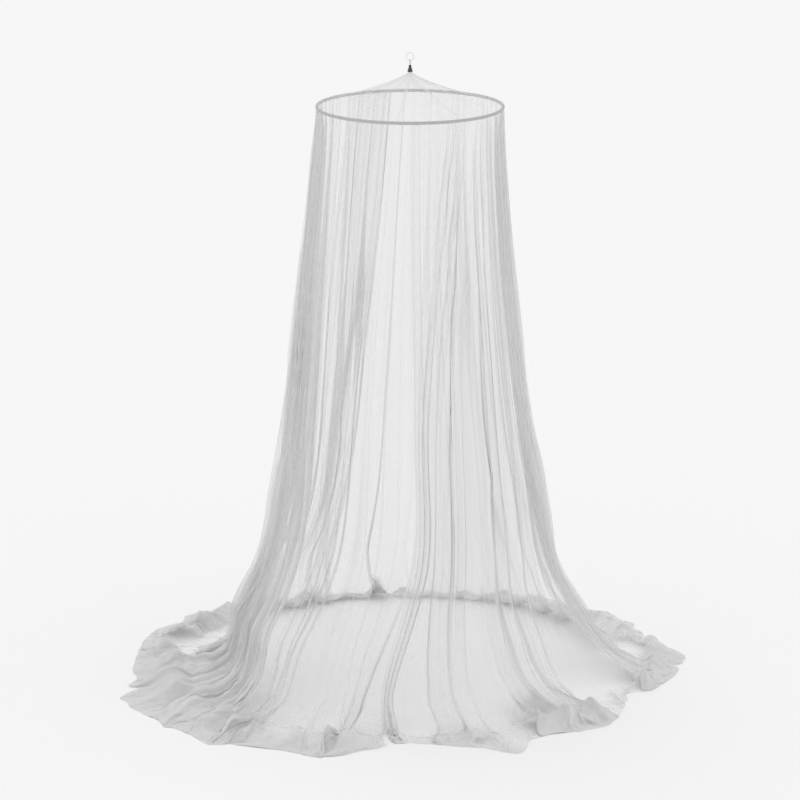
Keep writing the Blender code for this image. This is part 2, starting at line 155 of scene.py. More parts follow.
# ---- the gathers: the bunches of cloth that show as dark lines and bands, in order round the wall ----
# hoop, waist, knee, foot: bearings at the hoop, 0.9 m up, 0.45 m up and at the floor; wide: in degrees;
# crown, middle, hem: how far the cloth swings from side to side there, in radians; bunch: how many times
# denser its finer folds make it; after, low: the same swing in the stretch up to the next gather, up the
# wall and at the foot; upper, thick, dense: how many layers that stretch looks like, from the hoop down
Gather = namedtuple(
    "Gather", "hoop waist knee foot wide crown middle hem bunch after low upper thick dense"
)
GATHERS = (
    Gather(0.0, 3.2, 1.6, -8.0, 0.6, 0.5, 0.9, 1.2, 1.5, 0.4, 0.4, 1.20, 1.40, 1.50),
    Gather(14.0, 5.0, 3.4, -7.1, 0.5, 0.8, 1.6, 1.8, 3.0, 0.6, 0.6, 1.30, 2.00, 2.00),
    Gather(23.5, 7.0, 5.2, -6.2, 0.5, 1.8, 1.9, 1.9, 3.0, 1.2, 0.9, 1.40, 2.60, 2.40),
    Gather(28.5, 9.5, 7.4, -5.2, 0.5, 1.8, 1.9, 1.8, 3.0, 0.5, 0.3, 0.90, 2.60, 0.50),
    Gather(32.0, 13.5, 10.0, 6.2, 0.8, 1.4, 1.6, 1.5, 2.4, 1.2, 0.8, 0.95, 3.20, 1.80),
    Gather(35.5, 19.5, 17.0, 13.0, 1.2, 1.4, 1.7, 1.5, 2.2, 1.0, 0.4, 0.85, 3.40, 0.85),
    Gather(38.5, 26.0, 23.0, 18.0, 0.7, 1.0, 1.4, 1.2, 1.8, 0.7, 0.4, 0.55, 3.20, 0.65),
    Gather(41.5, 32.0, 32.0, 31.0, 0.7, 0.8, 1.2, 1.2, 1.6, 0.6, 0.4, 0.60, 3.20, 2.40),
    Gather(45.0, 38.5, 39.0, 38.0, 1.6, 1.0, 1.6, 1.6, 2.0, 0.9, 1.1, 1.00, 2.40, 1.20),
    Gather(49.5, 45.0, 45.5, 45.5, 1.4, 1.5, 1.7, 1.9, 1.5, 0.9, 0.9, 1.00, 1.80, 1.00),
    Gather(54.0, 51.5, 52.0, 50.5, 1.5, 1.7, 1.7, 1.6, 2.2, 1.2, 0.4, 0.90, 2.00, 0.30),
    Gather(58.5, 57.5, 59.5, 58.0, 2.0, 1.8, 1.6, 0.9, 1.2, 1.4, 0.4, 0.90, 1.20, 0.25),
    Gather(63.0, 63.5, 66.0, 71.0, 1.8, 1.9, 1.8, 0.9, 1.3, 1.5, 0.5, 0.95, 0.95, 2.20),
    Gather(69.0, 69.0, 71.5, 75.5, 2.2, 1.7, 1.9, 1.4, 1.3, 1.5, 1.2, 0.95, 0.95, 2.20),
    Gather(76.0, 76.0, 78.0, 81.0, 3.2, 1.9, 1.9, 1.7, 1.3, 1.6, 1.4, 0.95, 0.82, 1.90),
    Gather(84.0, 85.0, 86.5, 89.0, 4.5, 1.8, 1.9, 1.7, 1.3, 1.6, 1.4, 0.95, 0.82, 1.50),
    Gather(92.0, 94.0, 95.0, 98.0, 4.5, 1.9, 1.8, 1.7, 1.3, 1.6, 1.4, 0.95, 0.82, 1.00),
    Gather(101.0, 103.0, 104.2, 107.0, 3.5, 1.7, 1.9, 1.6, 1.3, 1.4, 1.2, 0.95, 0.95, 0.80),
    Gather(111.0, 112.0, 113.2, 116.0, 2.5, 1.8, 1.8, 1.6, 1.3, 1.2, 1.0, 0.95, 0.95, 0.80),
    Gather(122.0, 123.0, 123.9, 126.0, 1.8, 1.6, 1.5, 1.4, 1.5, 1.3, 0.7, 1.10, 1.10, 1.10),
    Gather(132.0, 133.0, 133.9, 136.0, 1.4, 1.4, 1.5, 1.3, 1.5, 0.8, 0.6, 1.00, 1.00, 1.00),
    Gather(142.0, 143.0, 143.9, 146.0, 1.4, 1.3, 1.4, 1.3, 1.5, 1.4, 0.9, 1.10, 1.10, 1.10),
    Gather(152.0, 153.0, 153.6, 155.0, 1.3, 1.3, 1.3, 1.3, 1.5, 0.7, 0.5, 1.00, 1.00, 1.00),
    Gather(161.0, 162.0, 162.6, 164.0, 1.2, 1.2, 1.3, 1.3, 1.5, 1.2, 0.8, 1.00, 1.00, 1.00),
    Gather(170.0, 171.0, 171.3, 172.0, 1.0, 0.9, 1.0, 1.3, 1.5, 0.4, 0.4, 0.90, 0.90, 0.90),
    Gather(176.5, 178.0, 178.3, 179.0, 1.0, 0.8, 0.9, 1.3, 1.5, 0.3, 0.3, 0.90, 0.90, 0.90),
    Gather(183.0, 190.0, 193.0, 191.2, 1.2, 1.4, 1.8, 1.8, 3.0, 0.4, 0.4, 1.00, 1.00, 1.00),
    Gather(192.0, 203.0, 208.5, 206.0, 2.0, 1.9, 1.9, 1.8, 2.0, 1.6, 1.2, 1.90, 1.40, 1.20),
    Gather(202.0, 211.0, 214.0, 214.0, 1.7, 1.6, 1.8, 1.6, 1.5, 1.6, 0.9, 1.90, 1.40, 1.20),
    Gather(213.0, 218.0, 220.5, 222.0, 1.6, 1.5, 1.6, 1.5, 1.5, 1.5, 0.9, 1.50, 1.20, 1.20),
    Gather(222.0, 226.0, 227.5, 229.0, 1.8, 1.7, 1.8, 1.6, 1.5, 0.8, 0.8, 1.00, 1.00, 1.00),
    Gather(230.0, 233.0, 234.2, 237.0, 2.5, 1.8, 1.8, 1.4, 1.3, 1.4, 1.0, 0.95, 0.95, 1.30),
    Gather(238.0, 241.0, 242.2, 245.0, 4.0, 1.8, 1.9, 1.3, 1.3, 1.6, 0.8, 0.95, 0.95, 1.30),
    Gather(247.0, 249.5, 250.7, 253.5, 4.5, 1.9, 1.9, 1.3, 1.3, 1.6, 0.8, 0.95, 0.95, 0.95),
    Gather(256.0, 258.0, 259.2, 262.0, 5.0, 1.9, 2.0, 1.9, 1.3, 1.6, 1.6, 0.95, 0.67, 0.95),
    Gather(265.0, 266.0, 267.5, 271.0, 5.0, 1.9, 2.0, 1.9, 1.3, 1.6, 1.6, 0.95, 0.67, 1.30),
    Gather(273.0, 274.0, 275.8, 280.0, 5.0, 1.9, 2.0, 2.0, 1.3, 1.6, 1.6, 0.95, 0.67, 1.70),
    Gather(281.0, 282.0, 283.8, 288.0, 5.0, 1.9, 2.0, 2.0, 1.3, 1.6, 1.6, 0.95, 0.67, 1.60),
    Gather(288.0, 290.0, 291.8, 296.0, 4.6, 1.8, 2.0, 2.0, 1.3, 1.5, 1.6, 0.70, 0.67, 1.60),
    Gather(294.5, 298.0, 299.6, 303.5, 4.4, 1.6, 2.0, 2.0, 1.3, 1.4, 1.6, 0.50, 2.00, 2.90),
    Gather(301.5, 306.0, 307.1, 311.0, 3.0, 1.3, 2.0, 1.9, 1.5, 1.2, 1.0, 1.10, 3.20, 1.20),
    Gather(308.0, 311.5, 312.2, 315.0, 1.3, 1.3, 1.3, 1.2, 1.4, 0.6, 0.5, 0.80, 1.20, 1.00),
    Gather(314.0, 316.5, 316.9, 318.0, 1.2, 1.2, 1.3, 1.1, 1.4, 0.5, 0.5, 0.80, 1.20, 0.90),
    Gather(320.0, 321.0, 321.0, 320.5, 1.5, 1.8, 1.6, 1.9, 1.8, 1.3, 0.6, 1.10, 0.80, 0.90),
    Gather(329.0, 325.5, 324.5, 322.9, 1.0, 1.4, 1.5, 1.5, 1.6, 1.2, 0.8, 1.30, 1.60, 1.10),
    Gather(336.5, 329.0, 327.5, 324.8, 1.0, 1.6, 1.9, 1.6, 2.5, 0.9, 0.6, 1.10, 1.50, 1.20),
    Gather(346.0, 333.5, 330.0, 326.6, 1.0, 1.5, 1.9, 1.7, 3.0, 0.9, 0.5, 1.00, 1.40, 0.75),
    Gather(351.0, 341.5, 341.0, 337.4, 0.8, 1.0, 1.3, 1.2, 1.4, 0.4, 0.5, 0.90, 1.30, 0.60),
    Gather(355.5, 349.0, 347.0, 343.0, 0.7, 1.0, 1.3, 1.4, 2.2, 0.3, 0.6, 0.80, 1.25, 0.70),
    Gather(359.5, 355.5, 353.5, 344.8, 0.8, 0.8, 1.2, 1.6, 1.4, 0.3, 0.6, 0.80, 1.20, 2.00),
    Gather(362.8, 363.0, 361.0, 347.2, 1.0, 0.8, 1.0, 1.9, 3.0, 0.4, 0.6, 0.90, 1.50, 0.80),
    Gather(366.0, 367.2, 365.5, 354.0, 1.2, 1.7, 1.9, 1.9, 3.0, 0.6, 0.6, 1.00, 1.50, 1.50),
)
GATHER_HEIGHTS = (1.880, 0.900, 0.450, 0.050)  # at the hoop, the waist, the knee and the foot
GATHER_SPREAD = (0.8, 1.0, 1.2, 1.5)  # how wide gathers are at each height, against the table
GATHER_DROPS = HOOP_HEIGHT - np.array(GATHER_HEIGHTS)
WAVES_IN_GATHER = 2  # how many times the cloth goes back and forth in one
WAVES_IN_STRETCH = 1  # and in the stretch up to the next
GATHER_SHARE = 0.56  # of the columns, the share that goes to gathers
COLUMNS_PER_GATHER = 24
FLATTEN = 0.6  # how much of their depth the gathers keep, pressed by their own weight
LYING_FLATTEN = 0.45  # and how much of that they keep lying on the floor
FLATTENED_BY = 0.625  # the share of the lying cloth by which they are so flat
RIM_SWING = 1.3  # how far the cloth swings at the hem, in gathers
RIM_SWING_BETWEEN = 0.9  # and between them
RIM_FROM, RIM_TO = 0.35, 0.85  # the shares of the lying cloth over which it changes to that
LEAST_SWING, MOST_SWING = 0.1, 2.05
RIM_TIGHT = 0.25  # the share of its waves that the cloth keeps where it is sewn on
RIM_TIGHT_DROP = 0.10  # they are whole from this far down

# ---- the rows of the mesh, by their distance below the hoop along the cloth ----
FOOT_DROP = 1.91  # where the foot's first row that lies on the floor is reached
HEM_DROP = 2.10
LAST_HANGING = 0.14  # the lowest height that the wall's own rows give
FIRST_LYING = 0.30  # the first share of the foot that its own rows give
HANGING_STATIONS = 40  # how many rows are worked out for the wall before they are spaced out
LYING_STATIONS = 10  # and for the foot
ROW_STEPS = ((1.30, 0.075), (1.66, 0.0255), (HEM_DROP, 0.0093))  # spacing of the rows down to a drop
LOWEST = 0.0006  # the cloth's lowest height above the floor
HEM_SINKS = 0.75  # the share of its height that the cloth loses by the hem, where it lies flat
SINKS_FROM = 0.72  # the share of the lying cloth from which it does so

# ---- the foot: it runs on out over the floor, more and more crumpled ----
DOUBLED_FROM, DOUBLED_BY = 0.20, 0.45  # the shares of it over which its net comes to lie double
CRUMPLE_LENGTH = 0.047  # from one crumple to the next, along the cloth
CRUMPLE_SWING = 1.0
CRUMPLE_GROWTH = 1.2  # how late they grow to it on the way to the hem
CRUMPLE_HEIGHT = 0.5  # how much of their height the crumples keep, lying on the floor
DRIFT = 3.0  # how far the folds stray sideways on the floor, in degrees
CRINKLE = 0.003  # how far small crinkles stand out of the lying cloth
CRINKLED_BY = 0.5  # the share of the lying cloth by which they stand so far

# ---- how uneven the cloth is ----
# size: against 1, or against the length or height it goes with; down, along: how far it is from one
# change to the next, in metres down the cloth and in gathers along it
Uneven = namedtuple("Uneven", "seed size down along")
GATHERS_SWING = Uneven(3, 0.16, 0.35, 0.8)
STRETCHES_SWING = Uneven(5, 0.3, 0.5, 0.45)
WAVES_SHIFT = Uneven(7, 0.25, 0.40, 1.3)
LYING_WAVES_SHIFT = Uneven(8, 0.5, 0.09, 0.6)
CRUMPLES_SHIFT = (Uneven(11, 0.9, 0.09, 1.1), Uneven(12, 0.4, 0.06, 0.35))
CRUMPLES_SIZE = Uneven(13, 0.5, 0.1, 0.6)
DRIFTS = (Uneven(17, 1.0, 0.10, 1.8), Uneven(18, 0.4, 0.06, 0.6))
HANGING_LAYERS = (Uneven(21, 0.14, 0.7, 0.30), Uneven(22, 0.10, 0.9, 0.11))
LYING_LAYERS = Uneven(23, 0.45, 0.028, 0.15)
CRINKLES = (Uneven(31, 1.0, 0.028, 0.25), Uneven(32, 1.0, 0.013, 0.45))

# bearing, radius: the middle of a place where the foot is heaped more or less than elsewhere;
# wide, deep: its half width in degrees and half depth in metres; layers: how much net is there,
# against elsewhere; rise: how much higher it stands
Place = namedtuple("Place", "bearing radius wide deep layers rise")
PLACES_START = 6.0  # they show in full from 1 / this of the lying cloth on
PLACES_END = 3.0  # and their rise dies away over the last 1 / this of it
PLACES = (
    Place(316.0, 0.90, 6.0, 0.120, 3.2, 0.006),
    Place(311.0, 0.975, 3.5, 0.03, 0.4, -0.004),
    Place(326.0, 0.785, 6.5, 0.045, 0.5, 0.000),
    Place(334.0, 0.92, 9.0, 0.060, 5.5, 0.006),
    Place(345.0, 0.88, 6.0, 0.055, 6.5, 0.008),
    Place(3.0, 0.845, 7.0, 0.030, 3.6, 0.000),
    Place(14.0, 0.78, 4.5, 0.050, 5.0, 0.008),
    Place(21.0, 0.92, 4.0, 0.030, 2.0, 0.000),
    Place(35.5, 0.73, 7.5, 0.095, 6.0, 0.003),
    Place(46.5, 0.83, 4.0, 0.055, 5.0, 0.003),
    Place(62.0, 0.68, 9.0, 0.120, 0.3, 0.000),
    Place(64.0, 0.80, 7.5, 0.034, 5.0, 0.004),
    Place(83.0, 0.86, 7.0, 0.050, 1.4, 0.004),
    Place(94.5, 0.740, 9.0, 0.062, 0.07, -0.006),
    Place(104.0, 0.785, 5.0, 0.035, 2.6, 0.008),
    Place(115.0, 0.630, 22.0, 0.040, 3.2, 0.000),
    Place(150.0, 0.665, 34.0, 0.035, 3.6, -0.004),
    Place(190.0, 0.655, 2.6, 0.045, 5.0, 0.022),
    Place(208.0, 0.675, 18.0, 0.035, 3.6, -0.004),
    Place(246.0, 0.850, 9.0, 0.050, 2.6, 0.000),
    Place(251.0, 0.690, 9.0, 0.062, 0.22, -0.060),
    Place(263.0, 0.770, 7.5, 0.052, 0.20, -0.045),
    Place(286.0, 0.860, 14.0, 0.090, 6.5, 0.006),
    Place(304.0, 0.760, 3.5, 0.100, 0.5, 0.000),
)

# bearing, wide, out: a place where the hem runs out into a point, or in to a notch where out is negative,
# in degrees and metres
Edge = namedtuple("Edge", "bearing wide out")
EDGES = (
    Edge(21.0, 2.2, 0.030),
    Edge(26.0, 2.5, -0.025),
    Edge(47.0, 2.5, -0.012),
    Edge(56.5, 3.5, 0.022),
    Edge(65.5, 3.0, -0.020),
    Edge(85.5, 1.2, -0.022),
    Edge(91.5, 2.0, 0.012),
    Edge(101.0, 4.5, -0.062),
    Edge(112.0, 2.0, -0.022),
    Edge(121.0, 4.0, -0.045),
    Edge(132.0, 6.0, -0.040),
    Edge(233.5, 3.0, -0.050),
    Edge(244.0, 2.0, -0.030),
    Edge(251.0, 2.0, 0.012),
    Edge(282.5, 3.0, -0.030),
    Edge(288.5, 1.4, -0.042),
    Edge(292.5, 1.6, 0.020),
    Edge(310.0, 2.5, 0.020),
    Edge(322.0, 5.0, 0.015),
    Edge(346.0, 4.0, 0.025),
    Edge(357.0, 3.0, 0.018),
)

# ---- how many layers of net a spot looks like ----
LEAST_FACING = 0.30  # net that turns edge-on looks denser, up to 1 / this
LEAST_FACING_CRUMPLED = 0.35  # and the same for the crumples in the heap
EDGE_ON_SHARE = 0.8  # how much of that shows
STRETCH_BLUR = 2  # over how many columns one stretch's layers pass into the next one's
HEM_FROM, HEM_BY = 0.97, 0.98  # the shares of the lying cloth between which the hem's second layer starts
SIDE_HEM = 1.5  # how far the hems beside the opening reach in, in pairs of columns
SIDE_LAYERS = 1.2

# ---- the cut sizes of the cloth ----
WALL_CUT = (8.5, 2.2)
TOP_CUT = (0.64, 0.64)

# ---- the net top ----
TOP_PROFILE = (
    (0.2990, 1.8854),
    (0.240, 1.9000),
    (0.170, 1.9210),
    (0.100, 1.9450),
    (0.045, 1.9675),
    (0.013, 1.9860),
    (0.0060, 1.9915),
    (0.0042, 1.9965),
)
# bearing: of a crease at the rim; drawn: how tightly it is drawn, 1 for the ones that show most
Crease = namedtuple("Crease", "bearing drawn")
TOP_CREASES = (
    Crease(-8.0, 1.0),
    Crease(32.5, 1.0),
    Crease(68.0, 0.6),
    Crease(104.0, 0.5),
    Crease(140.0, 0.6),
    Crease(173.0, 0.9),
    Crease(212.0, 0.5),
    Crease(250.0, 0.6),
    Crease(287.0, 0.5),
    Crease(322.0, 0.6),
)
TOP_SAG = 0.007
TOP_CREASE_WIDTH = 0.004
TOP_CREASE_HEIGHT = 0.0035
TOP_LAYERS = 1.5
CREASE_LAYERS = 3.2  # what a crease adds
TIP_LAYERS = 2.5  # what the bunched tip adds
TIP_RADIUS = 0.035  # where it adds half of that
TOP_COLUMNS = 300
TOP_ROWS = 40

# ---- finishes ----
NET_COLOR = (0.79, 0.79, 0.79, 1.0)
NET_ALPHA = 0.185  # of one flat layer
SHADE_PAINTED_FROM, SHADE_PAINTED_TO = 7.0, 26.0  # painted shade: from so many layers on the net's colour darkens, up to so many, standing in for the shade deep in piles and creases
PAINTED_SHADE_KEEPS = 0.85  # the share of its colour that the net keeps under that painted shade
THREAD_PITCH = 0.0024
# the sizes of things in the net, across and down its cut cloth
WALL_STREAK = (0.022, 1.1)
TOP_STREAK = (0.09, 0.09)
WRINKLE = (0.030, 0.260)  # a fine crease in the heap, where its close rows make down a third of it
FINE_ACROSS, FINE_DOWN = 3.5, 2.0  # how many fine streaks go to a streak
STREAKED = 0.3  # how much the layers vary with them
CREASED = 1.1  # and with the fine creases, which so also deepen the painted shade along them
RIDGE_SHARPNESS = 5.0
# painted shade: a mid grey standing in for the shade on the sleeve's white tape
SHADED_TAPE_COLOR = (0.50, 0.50, 0.505, 1.0)
CAP_COLOR = (0.055, 0.055, 0.06, 1.0)
RING_COLOR = (0.80, 0.81, 0.82, 1.0)
HOOP_COLOR = (0.50, 0.50, 0.51, 1.0)
LOOP_COLOR = (0.74, 0.74, 0.74, 1.0)
FLOOR_COLOR = (0.95, 0.95, 0.95, 1.0)

# ---- the floor and the light ----
FLOOR_SIZE = 60.0
FLOOR_AWAY = 20.0  # how far its middle lies behind the canopy
FLOOR_GAP = 0.0002
WORLD_LIGHT = 0.885
KEY_LIGHT = 0.34
KEY_SOFTNESS = 50.0  # degrees
KEY_TILT, KEY_ROLL = -30.0, -14.0  # degrees: from behind and from the left
SEEN_LAYERS = 160  # how many sheer layers a ray can pass


# ======== shader writing ========
class Wire:
    """A value in a material's node tree, so that shader maths reads as Python."""

    def __init__(self, finish, socket):
        self.finish = finish
        self.socket = socket

    def maths(self, operation, *values):
        return self.finish.node("ShaderNodeMath", {"operation": operation}, values)

    def __add__(self, other):
        return self.maths("ADD", self, other)

    def __sub__(self, other):
        return self.maths("SUBTRACT", self, other)

    def __rsub__(self, other):
        return self.maths("SUBTRACT", other, self)

    def __mul__(self, other):
        return self.maths("MULTIPLY", self, other)

    def __truediv__(self, other):
        return self.maths("DIVIDE", self, other)

    def __rpow__(self, other):
        return self.maths("POWER", other, self)

    def __pow__(self, other):
        return self.maths("POWER", self, other)

    __radd__ = __add__
    __rmul__ = __mul__

    def sine(self):
        return self.maths("SINE", self)

    def size(self):
        return self.maths("ABSOLUTE", self)

    def most(self, other):
        return self.maths("MAXIMUM", self, other)

    def least(self, other):
        return self.maths("MINIMUM", self, other)


class Finish:
    """A material under way: one Principled shader and what feeds it."""

    def __init__(self, name, color, roughness, **fixed):
        self.material = bpy.data.materials.new(name)
        self.material.use_nodes = True
        self.tree = self.material.node_tree
        self.shader = self.tree.nodes["Principled BSDF"]
        self.shader.inputs["Base Color"].default_value = color
        self.shader.inputs["Roughness"].default_value = roughness
        for socket, value in fixed.items():
            self.shader.inputs[socket.replace("_", " ")].default_value = value

    def node(self, kind, settings=None, inputs=(), output=0):
        """Adds a node: its settings first, then its sockets by number or name."""
        made = self.tree.nodes.new(kind)
        for name, value in (settings or {}).items():
            setattr(made, name, value)
        pairs = inputs.items() if isinstance(inputs, dict) else enumerate(inputs)
        for name, value in pairs:
            if isinstance(value, Wire):
                self.tree.links.new(value.socket, made.inputs[name])
            else:
                made.inputs[name].default_value = value
        return Wire(self, made.outputs[output])

    def feed(self, socket, wire):
        self.tree.links.new(wire.socket, self.shader.inputs[socket])

    def place(self, scale):
        """The piece's own UV map, in repeats."""
        where = self.node("ShaderNodeTexCoord", output="UV")
        return self.node("ShaderNodeMapping", inputs={"Vector": where, "Scale": scale})

    def noise(self, where, scale, detail=2.0):
        inputs = {"Vector": where, "Scale": scale, "Detail": detail}
        return self.node("ShaderNodeTexNoise", inputs=inputs)

    def split(self, where):
        made = self.node("ShaderNodeSeparateXYZ", inputs={0: where})
        outputs = made.socket.node.outputs
        return Wire(self, outputs[0]), Wire(self, outputs[1])

    def mix_color(self, factor, low, high):
        """A colour between two."""
        colors = {0: factor, 6: low, 7: high}
        return self.node("ShaderNodeMix", {"data_type": "RGBA"}, colors, output=2)

    def bump(self, height, strength, distance):
        inputs = {"Strength": strength, "Distance": distance, "Height": height}
        self.feed("Normal", self.node("ShaderNodeBump", inputs=inputs))


def darker(color, share):
    return tuple(channel * share for channel in color[:3]) + (1.0,)


def streaks_in(finish, cut, size, detail):
    """Noise over a cut cloth, stretched so that its spots are of the given size."""
    width, length = cut
    where = finish.place((width / size[0], length / size[1], 1.0))
    return finish.noise(where, 1.0, detail)


def net_finish(name, cut, streak):
    """Fine knitted net: its threads make a small crossed mesh, and where it is bunched it is denser.
    Where it lies many layers deep and along the heap's creases its colour is darkened, a painted shade.
    """
    finish = Finish(name, NET_COLOR, 0.85, Sheen_Weight=0.15, Specular_IOR_Level=0.15)
    width, length = cut
    meshes = finish.place((width / THREAD_PITCH, length / THREAD_PITCH, 1.0))
    across, down = finish.split(meshes)
    turn = math.tau / 2
    threads = ((across + down) * turn).sine().size().most(((across - down) * turn).sine().size())
    threads = threads**6.0
    streaks = streaks_in(finish, cut, streak, 3.0)
    fine = streaks_in(finish, cut, (streak[0] / FINE_ACROSS, streak[1] / FINE_DOWN), 2.0)
    wrinkles = streaks_in(finish, cut, WRINKLE, 3.0)
    ridges = (1.0 - (2.0 * wrinkles - 1.0).size()) ** RIDGE_SHARPNESS
    bunched = finish.node("ShaderNodeAttribute", {"attribute_name": "bunched"}, output="Fac")
    heaped = finish.node("ShaderNodeAttribute", {"attribute_name": "heaped"}, output="Fac")
    creased = ridges * heaped
    uneven = 1.0 + STREAKED * (streaks - 0.5) + STREAKED * (fine - 0.5)
    layers = bunched * uneven * (0.85 + 0.30 * threads) * (1.0 + CREASED * creased)
    clear = (1.0 - NET_ALPHA) ** layers
    finish.feed("Alpha", 1.0 - clear)
    flat = finish.mix_color(streaks, darker(NET_COLOR, 0.96), darker(NET_COLOR, 1.04))
    # painted shade: the colour darkens where the net lies many layers deep and along the heap's fine
    # creases, standing in for the shade between the layers
    painted_shade = ((layers - SHADE_PAINTED_FROM) / (SHADE_PAINTED_TO - SHADE_PAINTED_FROM)).most(0.0).least(1.0)
    finish.feed("Base Color", finish.mix_color(painted_shade, flat, darker(NET_COLOR, PAINTED_SHADE_KEEPS)))
    finish.bump(0.3 * (threads + fine) + 1.2 * creased, 0.4, 0.0012)
    return finish.material


def woven_finish(name, color, pitch):
    """Plain woven tape, its yarns running round and along."""
    finish = Finish(name, color, 0.8, Sheen_Weight=0.2)
    where = finish.node("ShaderNodeTexCoord", output="Object")
    yarns = finish.node(
        "ShaderNodeTexWave",
        {"bands_direction": "DIAGONAL"},
        {"Vector": where, "Scale": 1.0 / pitch, "Distortion": 1.5, "Detail": 2.0},
        output="Fac",
    )
    mottle = finish.noise(where, 60.0, 3.0)
    finish.feed("Base Color", finish.mix_color(mottle, darker(color, 0.85), darker(color, 1.12)))
    finish.bump(yarns + mottle, 0.4, 0.0004)
    return finish.material


def moulded_finish(name, color, roughness):
    """Moulded plastic with a faint grain."""
    finish = Finish(name, color, roughness)
    where = finish.node("ShaderNodeTexCoord", output="Object")
    grain = finish.noise(where, 900.0, 3.0)
    mottle = finish.noise(where, 120.0, 2.0)
    finish.feed("Base Color", finish.mix_color(mottle, darker(color, 0.94), darker(color, 1.05)))
    finish.feed("Roughness", roughness * 0.9 + 0.2 * roughness * mottle)
    finish.bump(grain, 0.15, 0.0001)
    return finish.material


# ======== making pieces ========
def from_floor(height):
    return height - HOOK_HEIGHT


def make_thing(name, bm, material):
    mesh = bpy.data.meshes.new(name)
    bm.to_mesh(mesh)
    bm.free()
    mesh.materials.append(material)
    thing = bpy.data.objects.new(name, mesh)
    bpy.context.scene.collection.objects.link(thing)
    return thing


def make_piece(name, bm, material, replaces):
    piece = make_thing(name, bm, material)
    piece.data.shade_smooth()
    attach(piece, "root")
    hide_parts(*replaces)
    return piece


def spin_profile(bm, points, steps, closed=False):
    """Spins a profile of (radius, z) points round the vertical axis."""
    verts = [bm.verts.new((radius, 0.0, z)) for radius, z in points]
    pairs = list(zip(verts, verts[1:])) + ([(verts[-1], verts[0])] if closed else [])
    edges = [bm.edges.new(pair) for pair in pairs]
    bmesh.ops.spin(
        bm,
        geom=verts + edges,
        cent=(0.0, 0.0, 0.0),
        axis=(0.0, 0.0, 1.0),
        angle=math.tau,
        steps=steps,
        use_merge=True,
    )
    bmesh.ops.remove_doubles(bm, verts=bm.verts, dist=1e-6)
    bmesh.ops.recalc_face_normals(bm, faces=bm.faces)


def round_rims(bm, turn, offset):
    """Rounds the edges where the surface turns by more than an angle in radians."""
    rims = [edge for edge in bm.edges if edge.calc_face_angle(0.0) > turn]
    bmesh.ops.bevel(
        bm, geom=rims, offset=offset, affect="EDGES", segments=2, profile=0.5, material=-1
    )


def circle_points(radius, sides):
    turns = (math.tau * side / sides for side in range(sides))
    return [(radius * math.cos(turn), radius * math.sin(turn)) for turn in turns]


# ======== the cloth's arithmetic ========
def column(rows, name):
    return np.array([getattr(row, name) for row in rows], float)


def spline(knots, values, at):
    """A smooth line through values at rising knots, along their first axis."""
    knots = np.asarray(knots, float)
    values = np.asarray(values, float)
    slopes = np.gradient(values, knots, axis=0)
    index = np.clip(np.searchsorted(knots, at, side="right") - 1, 0, len(knots) - 2)
    span = knots[index + 1] - knots[index]
    share = (at - knots[index]) / span
    shape = (-1,) + (1,) * (values.ndim - 1)
    share, span = share.reshape(shape), span.reshape(shape)
    low, high = values[index], values[index + 1]
    rise = share * share * (3.0 - 2.0 * share)
    start = share * (1.0 - share) ** 2 * slopes[index] * span
    end = share * share * (share - 1.0) * slopes[index + 1] * span
    return low + (high - low) * rise + start + end


def wander(seed, down, across, down_step, across_step):
    """Smooth random numbers, mostly from -1 to 1, that change over the given steps."""
    rows = int(math.ceil((down.max() - down.min()) / down_step)) + 3
    columns = int(math.ceil((across.max() - across.min()) / across_step)) + 3
    numbers = np.random.default_rng(seed).uniform(-1.0, 1.0, (rows, columns))
    tall = spline(np.arange(rows), numbers, (down - down.min()) / down_step + 0.5)
    wide = spline(np.arange(columns), tall.T, (across - across.min()) / across_step + 0.5)
    return wide.T


def turned_by(bearings, middle):
    """How far bearings lie from a middle, from -180 to 180 degrees."""
    return (bearings - middle + 180.0) % 360.0 - 180.0


def smooth_rows(values, width):
    """The running mean along each row, its ends repeated."""
    padded = np.pad(values, ((0, 0), (width, width)), mode="edge")
    total = np.cumsum(padded, axis=1)
    return (total[:, 2 * width :] - total[:, : -2 * width]) / (2 * width)


def forward_share(swing):
    """How far a swinging thread of cloth gets for its length: the Bessel function J0."""
    square = swing * swing
    return 1 - square / 4 + square**2 / 64 - square**3 / 2304 + square**4 / 147456


def fold_places(bearings, drop):
    """Where bearings lie along FOLDS at a drop below the hoop, in folds."""
    turned = drop**BEND
    hoop, floor = column(FOLDS, "hoop"), column(FOLDS, "floor")
    return np.interp(bearings, hoop + (floor - hoop) * turned, np.arange(len(FOLDS)))


def down_gathers(names, drops):
    """Columns of GATHERS, one given at each of their heights, at drops below the hoop."""
    given = np.array([column(GATHERS, name) for name in names])
    return spline(GATHER_DROPS, given, np.clip(drops, 0.0, GATHER_DROPS[-1]))


def along_folds(name, places):
    return spline(np.arange(len(FOLDS)), column(FOLDS, name), places)


def hollow(places):
    """0 on the crest of a fold, 1 in the hollow between two."""
    return (0.5 - 0.5 * np.cos(math.tau * places)) ** HOLLOW_SHARPNESS


def tuck_at(places):
    return TUCK * np.clip(1.0 - places / OVERLAP_FOLDS, 0.0, 1.0)


def lift_at(places):
    return LIFT * np.clip(1.0 - (len(FOLDS) - 1 - places) / OVERLAP_FOLDS, 0.0, 1.0)


